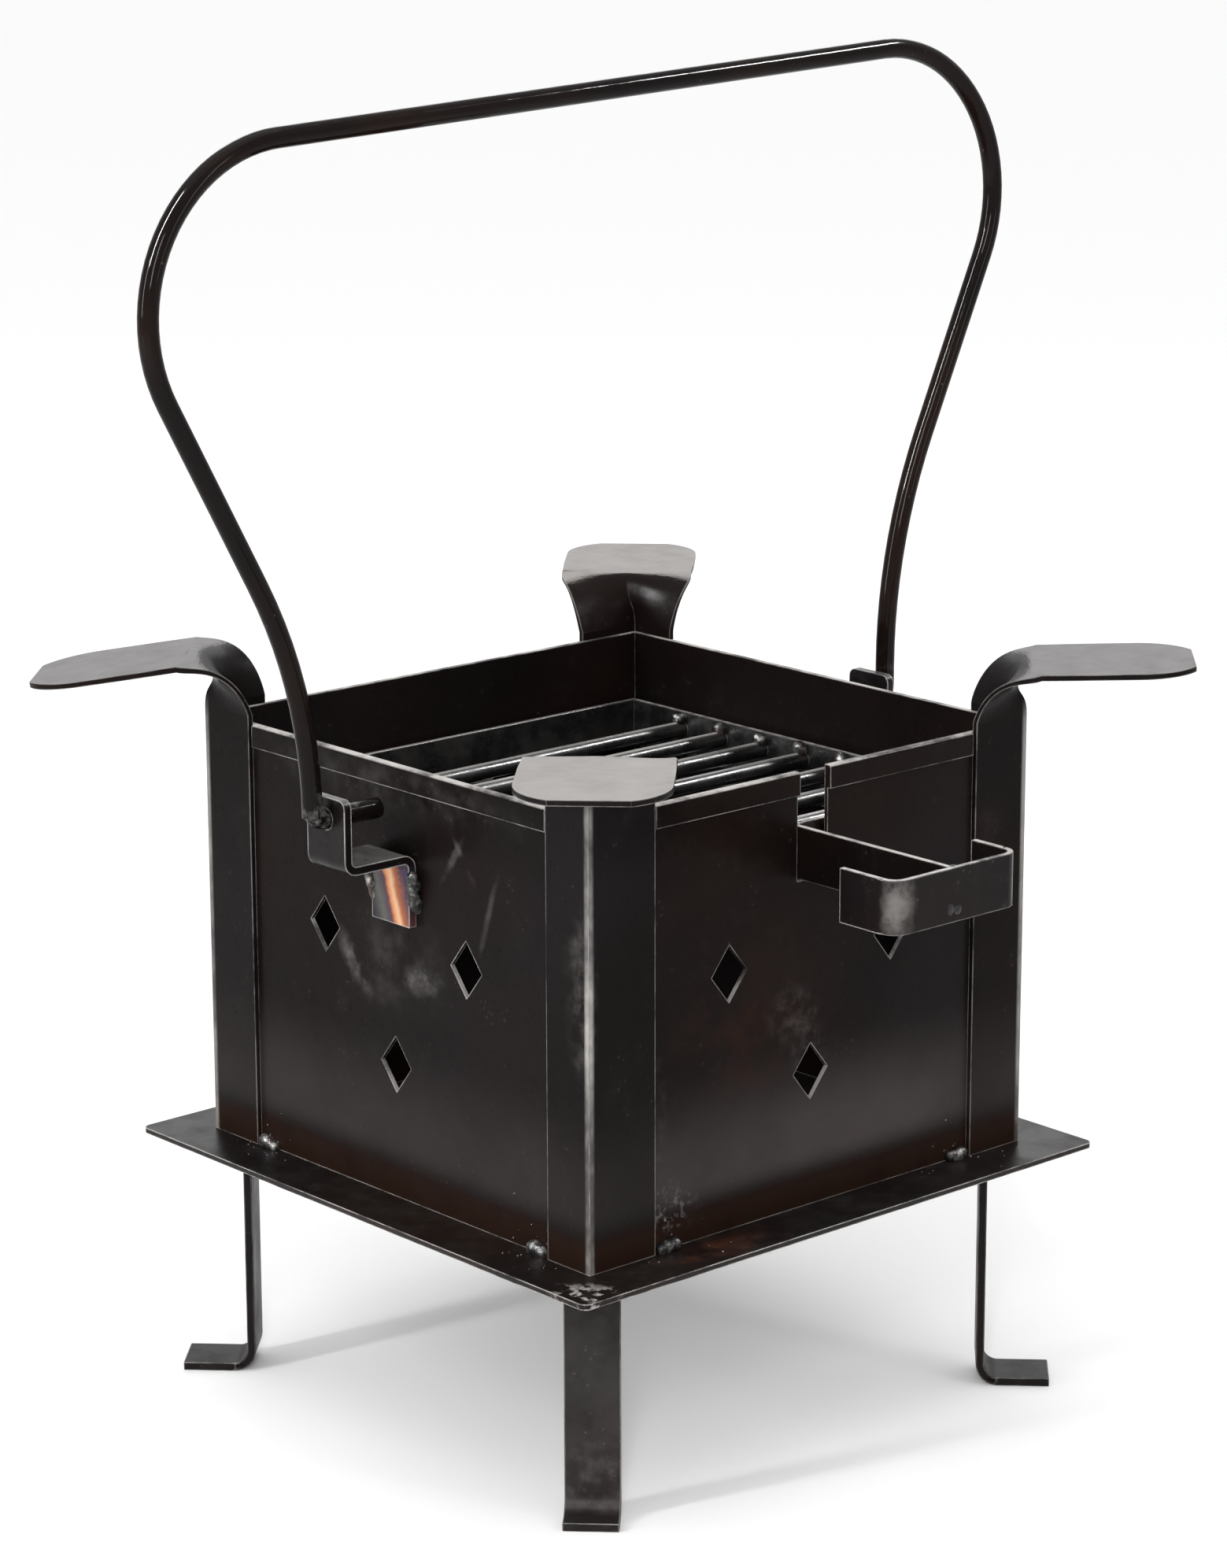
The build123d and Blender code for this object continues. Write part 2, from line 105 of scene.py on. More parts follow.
# ---------------------------------------------------------------- material nodes
class Look:
    """One node material and the short calls that build it. Places are in the stove's frame."""

    def __init__(self, name, seed=0.0):
        self.mat = bpy.data.materials.new(name)
        self.mat.use_nodes = True
        self.nodes = self.mat.node_tree.nodes
        self.links = self.mat.node_tree.links
        self.shader = self.nodes["Principled BSDF"]
        self.seed = seed
        self.place = self.add("ShaderNodeTexCoord").outputs["Object"]

    def add(self, kind, **settings):
        made = self.nodes.new(kind)
        for key, value in settings.items():
            setattr(made, key, value)
        return made

    def feed(self, socket, value):
        if isinstance(value, bpy.types.NodeSocket):
            self.links.new(value, socket)
        elif hasattr(value, "__len__") and len(value) == 3 and socket.type == "RGBA":
            socket.default_value = (*value, 1.0)
        else:
            socket.default_value = value

    def calc(self, how, a, b=0.0, clamp=False):
        made = self.add("ShaderNodeMath", operation=how, use_clamp=clamp)
        self.feed(made.inputs[0], a)
        self.feed(made.inputs[1], b)
        return made.outputs[0]

    def span(self, value, low, high, to_low=0.0, to_high=1.0):
        """value from low..high carried smoothly to to_low..to_high, and held outside."""
        made = self.add("ShaderNodeMapRange", interpolation_type="SMOOTHSTEP")
        for name, x in zip(("Value", "From Min", "From Max", "To Min", "To Max"),
                           (value, low, high, to_low, to_high)):
            self.feed(made.inputs[name], x)
        return made.outputs["Result"]

    def blend(self, share, a, b):
        made = self.add("ShaderNodeMix", data_type="RGBA")
        self.feed(made.inputs["Factor"], share)
        self.feed(made.inputs[6], a)
        self.feed(made.inputs[7], b)
        return made.outputs[2]

    def axis(self, letter):
        """The point's X, Y or Z in the stove's frame."""
        made = self.add("ShaderNodeSeparateXYZ")
        self.links.new(self.place, made.inputs[0])
        return made.outputs[letter]

    def grain(self, scale, detail=4.0, rough=0.55, stretch=None, twist=0.0, shift=0.0):
        """Noise of that many features a metre, 0 to 1."""
        at = self.place
        if stretch:
            fit = self.add("ShaderNodeMapping")
            self.links.new(at, fit.inputs["Vector"])
            fit.inputs["Scale"].default_value = stretch
            at = fit.outputs["Vector"]
        made = self.add("ShaderNodeTexNoise", noise_dimensions="4D")
        self.links.new(at, made.inputs["Vector"])
        for name, x in (("W", self.seed + shift), ("Scale", scale), ("Detail", detail),
                        ("Roughness", rough), ("Distortion", twist)):
            made.inputs[name].default_value = x
        return made.outputs["Fac"]

    def spots(self, scale, size, shift=0.0):
        """Small round specks: 1 inside, 0 outside."""
        fit = self.add("ShaderNodeMapping")
        self.links.new(self.place, fit.inputs["Vector"])
        fit.inputs["Location"].default_value = (self.seed + shift, shift * 0.7, self.seed * 0.3)
        made = self.add("ShaderNodeTexVoronoi", feature="F1")
        self.links.new(fit.outputs["Vector"], made.inputs["Vector"])
        made.inputs["Scale"].default_value = scale
        return self.span(made.outputs["Distance"], size, size * 0.5)

    def mark(self, at, radii, turn=(0.0, 0.0, 0.0), core=0.25, ragged=0.0):
        """A soft ellipsoid: 1 in its core, 0 outside. ragged breaks up its outline."""
        fit = self.add("ShaderNodeMapping", vector_type="TEXTURE")
        self.links.new(self.place, fit.inputs["Vector"])
        fit.inputs["Location"].default_value = at
        fit.inputs["Rotation"].default_value = [math.radians(x) for x in turn]
        fit.inputs["Scale"].default_value = radii
        reach = self.add("ShaderNodeVectorMath", operation="LENGTH")
        self.links.new(fit.outputs["Vector"], reach.inputs[0])
        far = reach.outputs["Value"]
        if ragged:
            wobble = self.calc("MULTIPLY", self.calc("SUBTRACT", self.grain(160, 5, 0.6), 0.5),
                               ragged)
            far = self.calc("ADD", far, wobble)
        return self.span(far, 1.0, core)

    def edges(self, radius, low=0.006, high=0.10):
        """1 along sharp edges, for worn paint and painted edge highlights; the callers break it up.
        """
        round_off = self.add("ShaderNodeBevel", samples=6)
        round_off.inputs["Radius"].default_value = radius
        facing = self.add("ShaderNodeNewGeometry")
        dot = self.add("ShaderNodeVectorMath", operation="DOT_PRODUCT")
        self.links.new(round_off.outputs["Normal"], dot.inputs[0])
        self.links.new(facing.outputs["Normal"], dot.inputs[1])
        off = self.calc("SUBTRACT", 1.0, dot.outputs["Value"])
        return self.span(off, low, high)

    def upward(self, low=0.35, high=0.9):
        """1 on faces that look up, such as cut edges that catch the light."""
        facing = self.add("ShaderNodeSeparateXYZ")
        side = self.add("ShaderNodeNewGeometry")
        self.links.new(side.outputs["True Normal"], facing.inputs[0])
        return self.span(facing.outputs["Z"], low, high)

    def height(self, parts, distance, strength=1.0):
        """Bump from (noise, weight) pairs."""
        total = None
        for value, weight in parts:
            one = self.calc("MULTIPLY", value, weight)
            total = one if total is None else self.calc("ADD", total, one)
        bump = self.add("ShaderNodeBump")
        bump.inputs["Distance"].default_value = distance
        bump.inputs["Strength"].default_value = strength
        self.links.new(total, bump.inputs["Height"])
        self.links.new(bump.outputs["Normal"], self.shader.inputs["Normal"])

    def set(self, **values):
        for name, x in values.items():
            self.feed(self.shader.inputs[name.replace("_", " ")], x)


def paint(name, seed, marks=(), rough=0.30, specular=0.055, edge_wear_and_highlight=1.0, dusty=0.30, wavy=1.0,
          edge=0.7 * MM, warm=1.0, painted_top_highlight=0.0):
    """Brushed black paint on steel. marks are (mask maker, colour, share, added roughness).

    The edge setting is for edges partly worn and partly a painted highlight, dusty for the film,
    warm for brown patches, the tops setting for a painted highlight on edges that face up.
    """
    look = Look(name, seed)
    patches = look.grain(9, 3, 0.6)
    cool = look.span(look.grain(7, 2, 0.5, shift=3.0), 0.45, 0.72)
    colour = look.blend(look.span(patches, 0.42, 0.68, 0.0, warm), PAINT_DARK, PAINT_WARM)
    colour = look.blend(look.calc("MULTIPLY", cool, 0.7), colour, PAINT_COOL)
    streaks = look.grain(130, 4, 0.6, stretch=(1.0, 1.0, 0.05), shift=5.0)
    mottle = look.grain(75, 6, 0.68, shift=9.0)
    film = look.calc("MULTIPLY", look.span(mottle, 0.50, 0.78),
                     look.span(look.grain(18, 3, 0.6, shift=11.0), 0.42, 0.66))
    colour = look.blend(look.calc("MULTIPLY", film, dusty * 0.42), colour, DUST)
    colour = look.blend(look.calc("MULTIPLY", look.span(streaks, 0.60, 0.82), dusty * 0.16),
                        colour, DUST)
    specks = look.calc("MULTIPLY", look.spots(330, 0.22), look.span(mottle, 0.52, 0.6))
    colour = look.blend(look.calc("MULTIPLY", specks, dusty * 0.8), colour, DUST)
    roughness = look.span(mottle, 0.3, 0.75, rough - 0.05, rough + 0.10)
    roughness = look.calc("ADD", roughness, look.calc("MULTIPLY", film, 0.12))
    for make, tint, share, matt in marks:
        mask = look.calc("MULTIPLY", make(look), share)
        colour = look.blend(mask, colour, tint)
        roughness = look.calc("ADD", roughness, look.calc("MULTIPLY", mask, matt))
    # Sharp edges lightened: partly worn paint, partly a painted edge highlight.
    edge_breakup = look.span(look.grain(45, 5, 0.7, shift=15.0), 0.36, 0.58, 0.12, 1.0)
    bare = look.calc("MULTIPLY", look.calc("MULTIPLY", look.edges(edge), edge_breakup), edge_wear_and_highlight, True)
    # Faces that look up are lightened: a painted highlight.
    if painted_top_highlight:
        tops = look.calc("MULTIPLY", look.upward(), look.calc("MULTIPLY", edge_breakup, painted_top_highlight))
        bare = look.calc("MAXIMUM", bare, tops)
    colour = look.blend(bare, colour, WORN_AND_HIGHLIGHT)
    look.set(Base_Color=colour, Roughness=look.calc("MINIMUM", roughness, 0.8),
             Specular_IOR_Level=specular)
    look.height([(look.grain(5, 2, 0.5, shift=21.0), 6.0 * wavy), (look.grain(26, 3, 0.5), 1.0),
                 (mottle, 0.16), (look.grain(420, 3, 0.5, shift=2.0), 0.05)], PAINT_WAVE)
    return look.mat


def streaky_patch(at, radii, turn, fine=95, low=0.40, high=0.70, stretch=None):
    """A patch with streaks inside, for smudges, rust, chips, film and painted highlights."""
    def make(look):
        inside = look.mark(at, radii, turn, core=0.15, ragged=0.8)
        return look.calc("MULTIPLY", inside,
                         look.span(look.grain(fine, 5, 0.65, stretch=stretch, shift=at[1] * 9),
                                   low, high))
    return make


# ---------------------------------------------------------------- places on the stove
def on(node, fx, fy, fz):
    """A point at those shares of a CAD node's box."""
    low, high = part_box(node)
    return tuple(a + (b - a) * f for a, b, f in zip(low, high, (fx, fy, fz)))


def face_marks():
    """The smudges and scratches on the left and the front wall."""
    left, front = on("wall_left", 0, 0.5, 0), on("wall_front", 0.5, 0, 0)
    x, y = left[0] + 1.4 * MM, front[1] + 1.4 * MM
    base = left[2]
    deep = 6 * MM

    def left_at(across, up):
        return (x, across * MM, base + up * MM)

    def front_at(across, up):
        return (across * MM, y, base + up * MM)

    on_left = [
        (streaky_patch(left_at(22, 80), (deep, 6 * MM, 17 * MM), (-38, 0, 0)), SMUDGE, 0.75, 0.2),
        (streaky_patch(left_at(-14, 81), (deep, 13 * MM, 7 * MM), (-12, 0, 0)), SMUDGE, 0.9, 0.2),
        (streaky_patch(left_at(-2, 86), (deep, 30 * MM, 26 * MM), (0, 0, 0), 60), SMUDGE, 0.22, 0.1),
        (streaky_patch(left_at(-31, 126), (deep, 2.2 * MM, 14 * MM), (35, 0, 0)), SMUDGE, 0.6, 0.1),
        (streaky_patch(left_at(-37, 128), (deep, 1.8 * MM, 13 * MM), (-38, 0, 0)), SMUDGE, 0.55, 0.1),
        (streaky_patch(left_at(-50, 112), (deep, 2.0 * MM, 20 * MM), (18, 0, 0)), SMUDGE, 0.35, 0.1),
        (streaky_patch(left_at(0, 146), (deep, 95 * MM, 12 * MM), (0, 0, 0), 70), SMUDGE, 0.20, 0.1),
    ]
    on_front = [
        (streaky_patch(front_at(-30, 68), (42 * MM, deep, 36 * MM), (0, 0, 0), 55), RUST, 0.16, 0.05),
        (streaky_patch(front_at(-8, 70), (16 * MM, deep, 14 * MM), (0, 0, 0), 170), SMUDGE, 0.24, 0.15),
        (streaky_patch(front_at(-2, 56), (13 * MM, deep, 13 * MM), (0, 0, 0), 210), SMUDGE, 0.20, 0.1),
        (streaky_patch(front_at(-66, 14), (16 * MM, deep, 12 * MM), (0, 0, 0), 300, 0.5, 0.6), SMUDGE,
         0.75, 0.2),
        (streaky_patch(front_at(-70, 45), (5 * MM, deep, 28 * MM), (0, 0, 0), 120), SMUDGE, 0.22, 0.1),
    ]
    return {"wall_left": on_left, "wall_front": on_front}


def painted_plate_reflection(base):
    """Painted reflection of the dark base plate: a dark brown band along the joint with the plate."""
    def make(look):
        low = look.span(look.axis("Z"), base + 15 * MM, base + 7 * MM)
        return look.calc("MULTIPLY", low, look.span(look.grain(38, 4, 0.65, shift=31.0), 0.30, 0.5,
                                                    0.6, 1.0))
    return make


def painted_floor_reflection(base):
    """Painted reflection of the pale floor: a paler band on the lower part of the walls, thinning out
    upwards.
    """
    def make(look):
        height = look.axis("Z")
        rising = look.span(height, base + 8 * MM, base + 20 * MM)
        fading = look.span(height, base + 62 * MM, base + 20 * MM)
        patchy = look.span(look.grain(14, 4, 0.6, shift=61.0), 0.25, 0.75, 0.5, 1.0)
        return look.calc("MULTIPLY", look.calc("MULTIPLY", rising, fading), patchy)
    return make


def wall_looks():
    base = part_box("wall_front")[0][2]
    marks = face_marks()
    for k, name in enumerate(("wall_front", "wall_left", "wall_right", "wall_rear")):
        # Painted reflection of the base plate along the foot of the wall.
        plate_reflection = (painted_plate_reflection(base), PLATE_REFLECTION_BROWN, 0.9, 0.1)
        # Painted reflection of the floor, strongest on the front wall.
        floor_reflection = (painted_floor_reflection(base), FLOOR_REFLECTION_GREY, 0.80 if name == "wall_front" else 0.42, 0.06)
        # The walls get a painted highlight on edges that face up.
        give(paint(name + "_paint", 1.7 + 2.3 * k, [floor_reflection, plate_reflection] + marks.get(name, []),
                   specular=0.035, edge_wear_and_highlight=0.5 if name == "wall_front" else 0.75, warm=0.6,
                   painted_top_highlight=0.9), name)


def post_looks():
    base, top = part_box("post_front")[0][2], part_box("post_front")[1][2]
    for k, name in enumerate(("post_front", "post_right", "post_back", "post_left")):
        # Painted reflections of the floor and of the base plate, low on the post.
        marks = [(painted_floor_reflection(base), FLOOR_REFLECTION_GREY, 0.3, 0.06), (painted_plate_reflection(base), PLATE_REFLECTION_BROWN, 0.9, 0.1)]
        # Painted highlights on both sides of the neck.
        marks += [(painted_neck_highlight(name, top, side), WORN_AND_HIGHLIGHT, 0.55, 0.0) for side in (-1, 1)]
        if name == "post_front":
            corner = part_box("wall_front")[0][0] - 2 * MM
            marks.append((streaky_patch((corner, corner, base + 95 * MM), (5 * MM, 14 * MM, 38 * MM),
                                (0, 0, 0), 120), SMUDGE, 0.5, 0.15))
        # Lit and shaded copies of the rest tops: lighter on the front and back posts, darker on the
        # left and right.
        top_tone = PAN_WORN_LIT if name in ("post_front", "post_back") else PAN_WORN_SHADED
        marks.append((rest_top_wear_and_sheen(top), top_tone, 0.9, 0.05))
        # Painted highlight down the fold, strongest on the front post.
        marks.append((painted_fold_highlight(name), WORN_AND_HIGHLIGHT, 0.9 if name == "post_front" else 0.5, 0.0))
        give(paint(name + "_paint", 12.1 + 3.1 * k, marks, specular=0.035, warm=0.6, edge_wear_and_highlight=0.45), name)


def painted_neck_highlight(name, top, side):
    """A painted highlight on one side of a post's neck."""
    sx, sy = CORNERS[name]
    reach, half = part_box("wall_rear")[1][0] + 2 * MM, 10 * MM
    at = (sx * reach + side * sy * half, sy * reach - side * sx * half, top - 21 * MM)
    return streaky_patch(at, (5 * MM, 5 * MM, 9 * MM), (0, 0, 0), 150, 0.30, 0.62)


def painted_fold_highlight(name):
    """A painted highlight down the fold of a post."""
    low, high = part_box("wall_front")[0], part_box("wall_rear")[1]
    sx, sy = CORNERS[name]
    reach = high[0] + 1.2 * MM
    rise = (low[2] + high[2]) / 2

    def make(look):
        line = look.mark((sx * reach, sy * reach, rise + 4 * MM), (2.0 * MM, 2.0 * MM, 0.5), core=0.3)
        patchy = look.grain(22, 5, 0.7, stretch=(1.0, 1.0, 0.6), shift=51.0)
        below_neck = look.span(look.axis("Z"), high[2] + 9 * MM, high[2])
        line = look.calc("MULTIPLY", line, below_neck)
        return look.calc("MULTIPLY", line, look.span(patchy, 0.34, 0.62, 0.12, 1.0))
    return make


def rest_top_wear_and_sheen(top):
    """The flat tops of the pot rests, rubbed grey by pans and lightened by a painted sheen."""
    def make(look):
        high = look.span(look.axis("Z"), top - 14 * MM, top - 8 * MM)
        level = look.upward(0.92, 0.98)
        worn = look.span(look.grain(60, 5, 0.6, shift=41.0), 0.2, 0.6, 0.78, 1.0)
        return look.calc("MULTIPLY", look.calc("MULTIPLY", high, level), worn)
    return make


def heat_tinted(name, node, seed):
    """A lug: paint above, heat-tinted bare steel round the weld at its base leg, and edges partly
    worn, partly a painted highlight.
    """
    low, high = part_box(node)
    inner = low[0] if abs(low[0]) < abs(high[0]) else high[0]
    side = 1 if inner > 0 else -1
    look = Look(name, seed)
    mottle = look.grain(75, 6, 0.68, shift=9.0)
    colour = look.blend(look.span(look.grain(20, 3), 0.4, 0.7), PAINT_DARK, PAINT_COOL)
    colour = look.blend(look.calc("MULTIPLY", look.span(mottle, 0.5, 0.75), 0.25), colour, DUST)
    wobble = look.calc("MULTIPLY", look.calc("SUBTRACT", look.grain(120, 4, 0.6), 0.5), 14 * MM)
    lifted = look.calc("ADD", look.axis("Z"), wobble)
    leg_top = low[2] + 21 * MM
    sideways = look.calc("MULTIPLY", look.axis("Y"), -1.3)
    t = look.span(look.calc("ADD", look.calc("MULTIPLY", lifted, 0.45), sideways),
                  low[2] * 0.45 - 10 * MM, leg_top * 0.45 + 12 * MM)
    tint = look.add("ShaderNodeValToRGB")
    stops = ((0.00, (0.020, 0.019, 0.026)), (0.20, (0.085, 0.085, 0.075)),
             (0.36, (0.060, 0.050, 0.065)), (0.46, (0.090, 0.040, 0.050)),
             (0.56, (0.500, 0.190, 0.080)), (0.68, (0.560, 0.360, 0.220)),
             (0.80, (0.300, 0.100, 0.040)), (1.00, (0.040, 0.030, 0.060)))
    ramp = tint.color_ramp
    ramp.elements[0].position, ramp.elements[1].position = stops[0][0], stops[-1][0]
    ramp.elements[0].color, ramp.elements[1].color = (*stops[0][1], 1), (*stops[-1][1], 1)
    for place, rgb in stops[1:-1]:
        ramp.elements.new(place).color = (*rgb, 1)
    look.links.new(t, tint.inputs["Fac"])
    near = look.span(look.calc("MULTIPLY", look.axis("X"), side), abs(inner) + 12 * MM,
                     abs(inner) + 4 * MM)
    bare = look.calc("MULTIPLY", near, look.span(lifted, leg_top + 3 * MM, leg_top - 2 * MM))
    colour = look.blend(bare, colour, tint.outputs["Color"])
    # Edges and faces that look up are lightened: partly worn paint, partly a painted highlight.
    edge_breakup = look.span(look.grain(70, 4, 0.65, shift=15.0), 0.34, 0.60, 0.35, 1.0)
    rim_wear_and_highlight = look.calc("MAXIMUM", look.edges(0.8 * MM), look.calc("MULTIPLY", look.upward(), 0.25))
    colour = look.blend(look.calc("MULTIPLY", rim_wear_and_highlight, edge_breakup), colour, WORN_AND_HIGHLIGHT)
    look.set(Base_Color=colour, Roughness=look.span(mottle, 0.3, 0.75, 0.24, 0.42),
             Metallic=look.calc("MULTIPLY", bare, 0.6), Specular_IOR_Level=0.10)
    look.height([(look.grain(60, 3, 0.5), 0.6), (mottle, 0.3)], PAINT_WAVE)
    return look.mat


def weld_metal():
    """Bare weld: dark scale, silver ripples and rust in the hollows."""
    look = Look("weld_metal", 3.3)
    scale = look.grain(260, 5, 0.65)
    colour = look.blend(look.span(scale, 0.48, 0.70), SOOT, STEEL_AND_HIGHLIGHT)
    colour = look.blend(look.calc("MULTIPLY", look.span(look.grain(90, 4, shift=4.0), 0.5, 0.7), 0.6),
                        colour, RUST)
    look.set(Base_Color=colour, Roughness=look.span(scale, 0.3, 0.7, 0.22, 0.50),
             Metallic=look.span(scale, 0.48, 0.70, 0.1, 0.8), Specular_IOR_Level=0.3)
    look.height([(scale, 1.0), (look.grain(800, 3), 0.3)], 0.5 * MM)
    return look.mat


def wire_look():
    """The bail: smooth gloss black, thin where it turns in the lugs."""
    look = Look("bail_black", 5.1)
    mottle = look.grain(90, 5, 0.6)
    colour = look.blend(look.span(look.grain(14, 3), 0.4, 0.7), PAINT_DARK, PAINT_WARM)
    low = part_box("bail_handle")[0]
    rub = look.calc("MULTIPLY", look.span(look.axis("Z"), low[2] + 20 * MM, low[2] + 2 * MM),
                    look.span(mottle, 0.52, 0.66))
    colour = look.blend(look.calc("MULTIPLY", rub, 0.3), colour, WORN_AND_HIGHLIGHT)
    nicks = look.calc("MULTIPLY", look.spots(210, 0.13, 2.0), look.span(mottle, 0.50, 0.58))
    colour = look.blend(look.calc("MULTIPLY", nicks, 0.5), colour, DUST)
    look.set(Base_Color=colour, Roughness=look.span(mottle, 0.3, 0.7, 0.06, 0.12),
             Specular_IOR_Level=0.08)
    look.height([(look.grain(30, 3), 0.8), (mottle, 0.10)], 0.6 * MM)
    return look.mat


def grate_look():
    """Dark mill steel with soot and lengthways streaks, painted highlights along the rod tops, and
    edges partly worn, partly a painted highlight.
    """
    look = Look("grate_steel", 6.4)
    mottle = look.grain(85, 5, 0.65)
    lines = look.grain(240, 4, 0.6, stretch=(0.04, 1.0, 1.0))
    colour = look.blend(look.span(mottle, 0.42, 0.70), SOOT, (0.014, 0.012, 0.011))
    colour = look.blend(look.calc("MULTIPLY", look.span(lines, 0.55, 0.75), 0.12), colour, DUST)
    # Painted highlight along the tops of the rods.
    painted_rod_highlight = look.calc("MULTIPLY", look.upward(0.86, 0.99), look.span(lines, 0.35, 0.6, 0.35, 0.8))
    colour = look.blend(look.calc("MAXIMUM", painted_rod_highlight, look.calc("MULTIPLY", look.edges(0.5 * MM), 0.8)),
                        colour, WORN_AND_HIGHLIGHT)
    look.set(Base_Color=colour, Roughness=look.span(mottle, 0.3, 0.7, 0.20, 0.42),
             Metallic=0.2, Specular_IOR_Level=0.5)
    look.height([(mottle, 0.4), (lines, 0.2)], 0.6 * MM)
    return look.mat


def plate_look():
    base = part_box("base_plate")[1][2]
    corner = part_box("base_plate")[0]
    chips = (streaky_patch((corner[0] + 6 * MM, corner[1] + 6 * MM, base), (15 * MM, 15 * MM, 6 * MM),
                   (0, 0, 0), 260, 0.5, 0.58), WORN_AND_HIGHLIGHT, 0.85, 0.1)
    rust = (streaky_patch((-52 * MM, corner[1] + 10 * MM, base), (34 * MM, 12 * MM, 6 * MM), (0, 0, 0), 60),
            RUST, 0.8, 0.15)
    film = (streaky_patch((0, 0, base), (0.17, 0.17, 9 * MM), (0, 0, 0), 45, 0.35, 0.7), DUST, 0.40, 0.1)
    return paint("plate_paint", 31.0, [film, rust, chips], rough=0.34, specular=0.14)


def leg_marks():
    """A dull film over the front leg, thicker towards its foot."""
    low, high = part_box("leg_front")
    middle = [(a + b) / 2 for a, b in zip(low, high)]
    return [(streaky_patch(middle, (60 * MM, 60 * MM, 80 * MM), (0, 0, 0), 30, 0.2, 0.6), SMUDGE, 0.20, 0.1),
            (streaky_patch((middle[0], middle[1], low[2] + 14 * MM), (40 * MM, 40 * MM, 18 * MM), (0, 0, 0),
                   120), SMUDGE, 0.35, 0.1)]


def painted_grip_highlight():
    """A painted highlight on the bend of the grip."""
    at = on("grate_grip", 0.04, 0.05, 0.5)
    return [(streaky_patch(at, (9 * MM, 7 * MM, 15 * MM), (0, 0, 0), 140, 0.25, 0.6), STEEL_AND_HIGHLIGHT, 0.55, 0.0)]


def give(material, *names):
    for name in names:
        NODES[name].data.materials.clear()
        NODES[name].data.materials.append(material)


# ---------------------------------------------------------------- softened edges on the CAD nodes
def ease_edges(name, width, steps=2):
    """Rounds a node's sharp edges in the render, as sheared and painted steel has them."""
    thing = NODES[name]
    weld = thing.modifiers.new("weld", "WELD")
    weld.merge_threshold = 1e-5
    ease = thing.modifiers.new("ease", "BEVEL")
    ease.width = width
    ease.segments = steps
    ease.limit_method = "ANGLE"
    ease.angle_limit = math.radians(40)
    ease.harden_normals = False
    even = thing.modifiers.new("even", "WEIGHTED_NORMAL")
    even.keep_sharp = False
    even.weight = 80


# ---------------------------------------------------------------- weld beads
def lumps(name):
    """(middle, long axis, half length, half width) of each bead in a CAD node."""
    mesh = bmesh.new()
    mesh.from_mesh(NODES[name].data)
    bmesh.ops.remove_doubles(mesh, verts=mesh.verts, dist=1e-5)
    left, found = set(mesh.verts), []
    while left:
        todo, island = [min(left, key=lambda v: v.index)], []
        left.discard(todo[0])
        while todo:
            v = todo.pop()
            island.append(v.co.copy())
            for e in v.link_edges:
                other = e.other_vert(v)
                if other in left:
                    left.discard(other)
                    todo.append(other)
        middle = sum(island, Vector()) / len(island)
        far = max((p - middle for p in island), key=lambda d: d.length)
        axis = far.normalized()
        along = max(abs((p - middle).dot(axis)) for p in island)
        across = sorted(((p - middle) - axis * (p - middle).dot(axis)).length for p in island)
        found.append((middle, axis, along, across[-1]))
    mesh.free()
    return sorted(found, key=lambda f: tuple(round(c, 5) for c in f[0]))


class Drops:
    """A heap of small balls, gathered as plain points and faces and made into one mesh."""

    def __init__(self):
        one = bmesh.new()
        bmesh.ops.create_icosphere(one, subdivisions=2, radius=1.0)
        self.points = [v.co.copy() for v in one.verts]
        self.faces = [[v.index for v in f.verts] for f in one.faces]
        one.free()
        self.all_points, self.all_faces = [], []

    def ball(self, middle, radius, squash=None):
        fit = Matrix.Translation(middle) @ (squash or Matrix.Identity(4)) @ Matrix.Scale(radius, 4)
        first = len(self.all_points)
        self.all_points += [fit @ p for p in self.points]
        self.all_faces += [[first + i for i in f] for f in self.faces]

    def object(self, name):
        data = bpy.data.meshes.new(name)
        data.from_pydata(self.all_points, [], self.all_faces)
        data.update()
        thing = bpy.data.objects.new(name, data)
        bpy.context.scene.collection.objects.link(thing)
        return thing


def smooth(data):
    for face in data.polygons:
        face.use_smooth = True


def melted(name, drops, grain):
    """Balls run together into one skin, then roughened a little."""
    thing = drops.object(name)
    data = thing.data
    skin = thing.modifiers.new("skin", "REMESH")
    skin.mode = "VOXEL"
    skin.voxel_size = grain
    skin.use_smooth_shade = True
    soft = thing.modifiers.new("soft", "SMOOTH")
    soft.factor, soft.iterations = 0.5, 3
    made = bpy.data.meshes.new_from_object(
        thing.evaluated_get(bpy.context.evaluated_depsgraph_get()))
    thing.modifiers.clear()
    thing.data = made
    bpy.data.meshes.remove(data)
    for v in made.vertices:
        v.co += v.normal * noise.noise(v.co * 900.0) * 0.12 * MM
    made.name = name
    smooth(made)
    return thing


def weld_run(drops, middle, axis, half_length, half_width, dice):
    """A short hand-laid bead: overlapping drops with a bigger crater at one end."""
    count = max(3, round(half_length / half_width * 3.2))
    start = dice.choice((-1, 1))
    for k in range(count):
        f = -1 + 2 * k / (count - 1)
        size = half_width * dice.uniform(0.66, 0.84) * (1.12 if k == 0 else 1.0)
        slip = Vector([dice.uniform(-0.12, 0.12) * half_width for _ in range(3)])
        drops.ball(middle + axis * (start * f * (half_length - size)) + slip, size)


def bead_piece(piece, node, body, material):
    dice = random.Random(piece)
    drops = Drops()
    for middle, axis, half_length, half_width in lumps(node):
        weld_run(drops, middle, axis, half_length, half_width, dice)
    thing = melted(piece, drops, BEAD_GRAIN)
    thing.data.materials.append(material)
    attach(thing, body)
    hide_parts(node)


